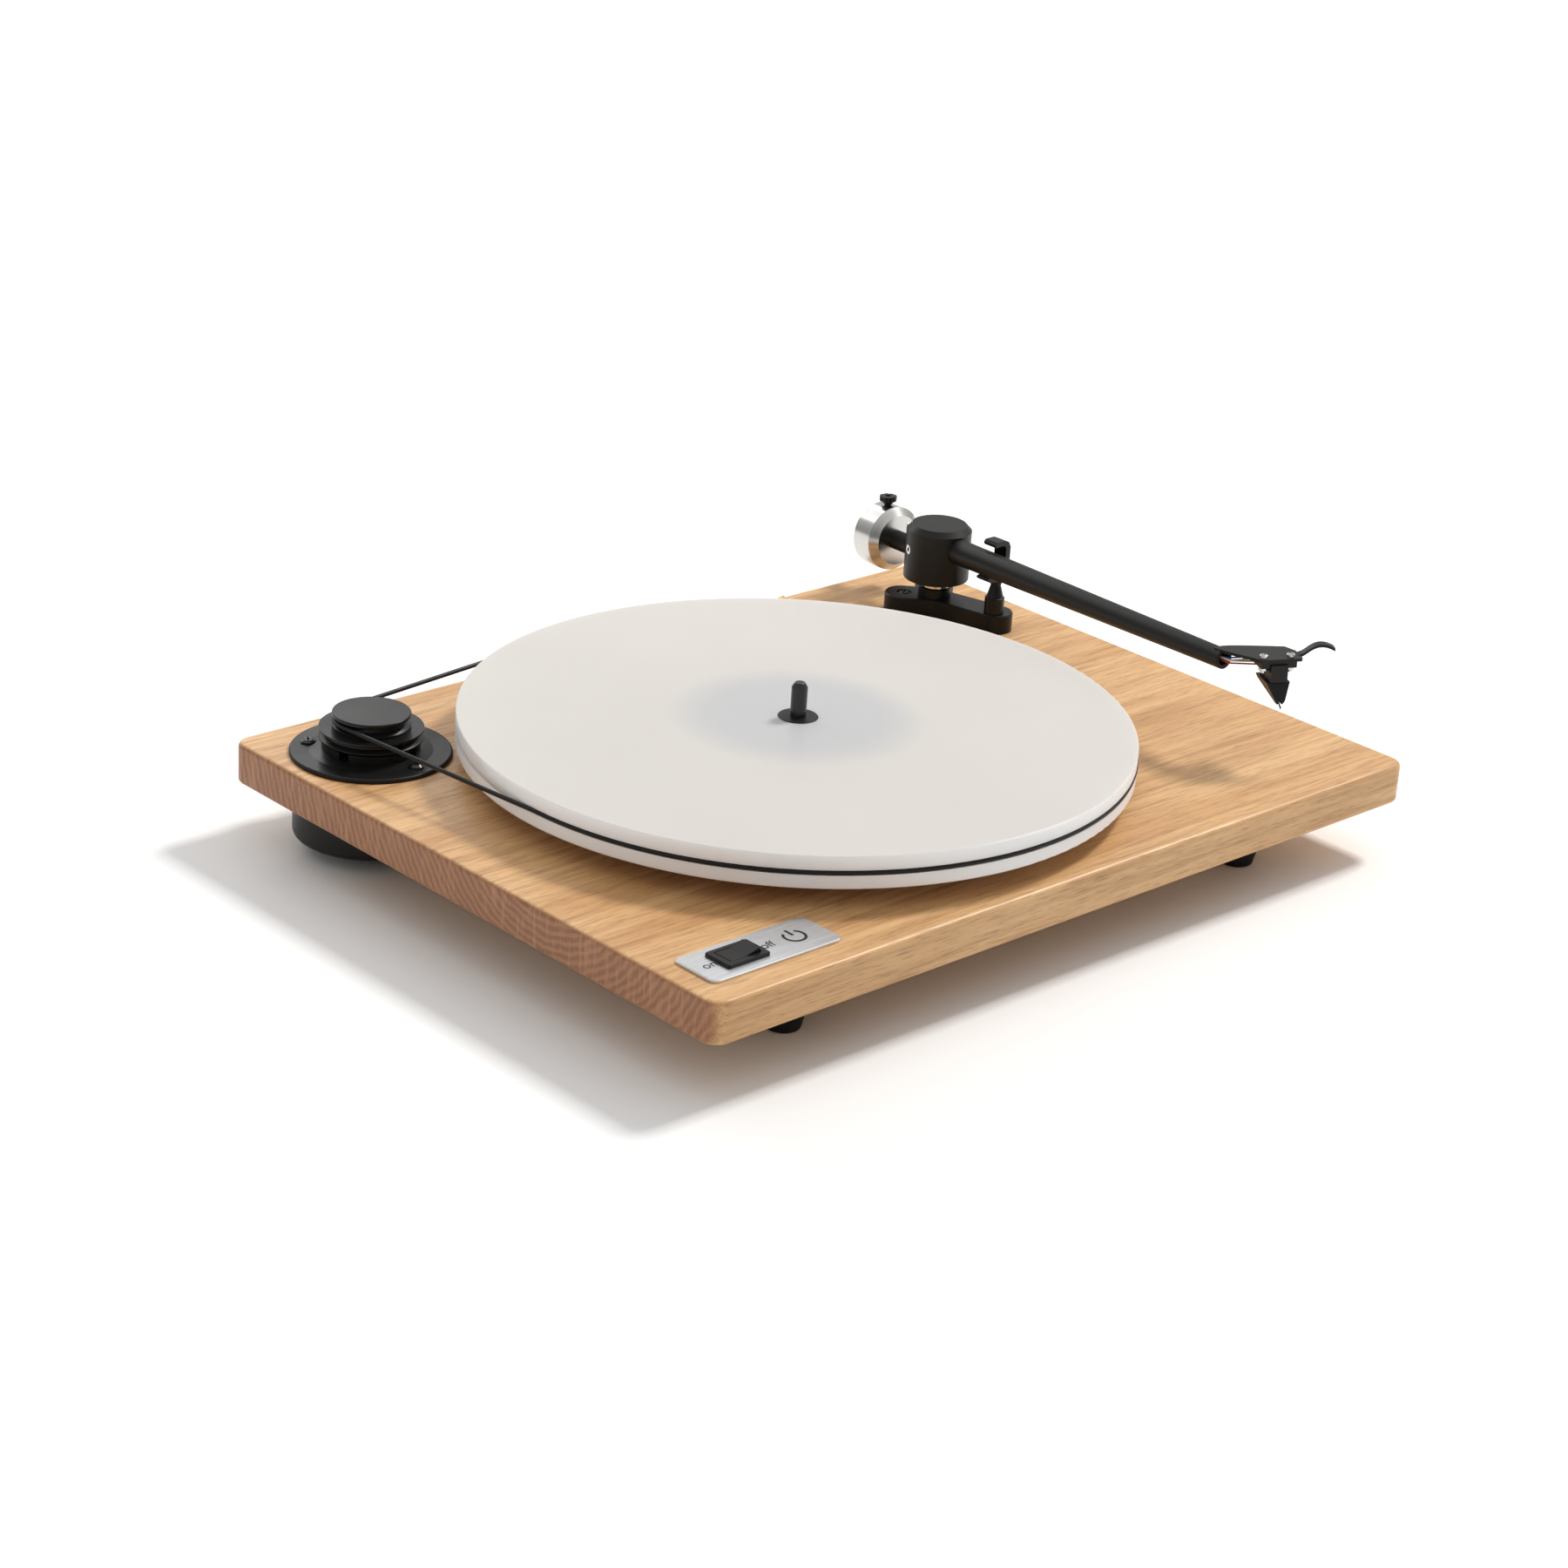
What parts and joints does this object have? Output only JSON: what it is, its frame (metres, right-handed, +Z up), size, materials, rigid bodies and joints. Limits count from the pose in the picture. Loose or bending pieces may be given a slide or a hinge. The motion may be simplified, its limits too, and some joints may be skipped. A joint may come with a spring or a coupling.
{
  "type": "record player",
  "caption": "Belt-driven record player: oak plinth on feet, translucent platter, corner motor with stepped pulley, straight tonearm with counterweight, rocker switch.",
  "frame": {"origin": "on the table, under the middle of the whole, rear sockets included", "axes": "+X to the right (tonearm side), +Y to the back, +Z up"},
  "size_m": [0.419, 0.3308, 0.0996],
  "materials": {
    "oak": "clear satin oak",
    "acrylic": "frosted translucent acrylic",
    "black_plastic": "satin moulded plastic",
    "black_metal": "satin black coating",
    "black_alloy": "satin black coating on aluminium",
    "black_rubber": "moulded rubber",
    "belt_rubber": "smooth drive belt",
    "steel": "turned and brushed",
    "polished_steel": "polished",
    "aluminium": "brushed",
    "brass": "machined",
    "gold": "gold plated",
    "wire_red": "wire cover",
    "wire_green": "wire cover",
    "wire_white": "wire cover",
    "wire_blue": "wire cover"
  },
  "bodies": {
    "chassis": {"plinth": "oak", "feet": "black_rubber", "foot_screws": "steel", "bearing_housing": "brass", "thrust_ball": "polished_steel", "bearing_washer": "steel", "bearing_nut": "steel", "motor_base": "black_plastic", "motor_base_screws": "black_metal", "motor": "steel", "motor_screws": "steel", "motor_can": "black_metal", "can_screws": "steel", "belt": "belt_rubber", "switch_plate": "aluminium", "switch_body": "black_plastic", "terminal_plate": "aluminium", "terminal_screws": "steel", "signal_sockets": "gold", "ground_post": "gold", "power_inlet": "black_plastic", "arm_base": "black_metal", "arm_base_screws": "black_metal", "pivot_post": "polished_steel", "pivot_washer": "steel", "pivot_nut": "steel", "arm_rest": "black_plastic"},
    "platter_set": {"platter": "acrylic", "hub": "black_plastic", "spindle": "polished_steel"},
    "motor_drive": {"motor_shaft": "polished_steel", "pulley": "black_plastic", "pulley_set_screw": "steel"},
    "arm_yaw": {"yaw_bearing": "polished_steel"},
    "arm": {"drum": "black_alloy", "pitch_pins": "steel", "arm_tube": "black_alloy", "weight_stub": "black_alloy", "headshell": "black_alloy", "pickup_body": "black_plastic", "stylus": "black_plastic", "pickup_screws": "steel", "pickup_nuts": "steel", "pickup_clips": "gold", "wire_red": "wire_red", "wire_green": "wire_green", "wire_white": "wire_white", "wire_blue": "wire_blue"},
    "weight": {"counterweight": "steel"},
    "weight_lock": {"thumbscrew": "black_plastic"},
    "rocker": {"rocker": "black_plastic"}
  },
  "joints": [
    {"name": "platter_spin", "type": "hinge", "parent": "chassis", "child": "platter_set", "pos_m": [-0.024, -0.0086, 0.06], "axis": [0, 0, 1], "continuous": true},
    {"name": "pulley_spin", "type": "hinge", "parent": "chassis", "child": "motor_drive", "pos_m": [-0.168, 0.1081, 0.056], "axis": [0, 0, 1], "continuous": true},
    {"name": "arm_swing", "type": "hinge", "parent": "chassis", "child": "arm_yaw", "pos_m": [0.1653, 0.096, 0.07], "axis": [0, 0, -1], "range_deg": [0, 48]},
    {"name": "arm_lift", "type": "hinge", "parent": "arm_yaw", "child": "arm", "pos_m": [0.1653, 0.096, 0.0777], "axis": [-0.9272, 0.3746, 0], "range_deg": [0, 3]},
    {"name": "weight_slide", "type": "slide", "parent": "arm", "child": "weight", "axis": [0.0992, 0.9941, -0.0436], "range_m": [-0.011, 0.01]},
    {"name": "weight_lock_turn", "type": "hinge", "parent": "weight", "child": "weight_lock", "pos_m": [0.16929, 0.13596, 0.07785], "axis": [0.0043, 0.0434, 0.999], "range_deg": [-360, 360]},
    {"name": "switch_rock", "type": "hinge", "parent": "chassis", "child": "rocker", "pos_m": [-0.175, -0.1391, 0.0452], "axis": [0, 1, 0], "range_deg": [0, 16]}
  ],
  "couplings": [
    {"joint": "pulley_spin", "follows": "platter_spin", "ratio": 9}
  ]
}
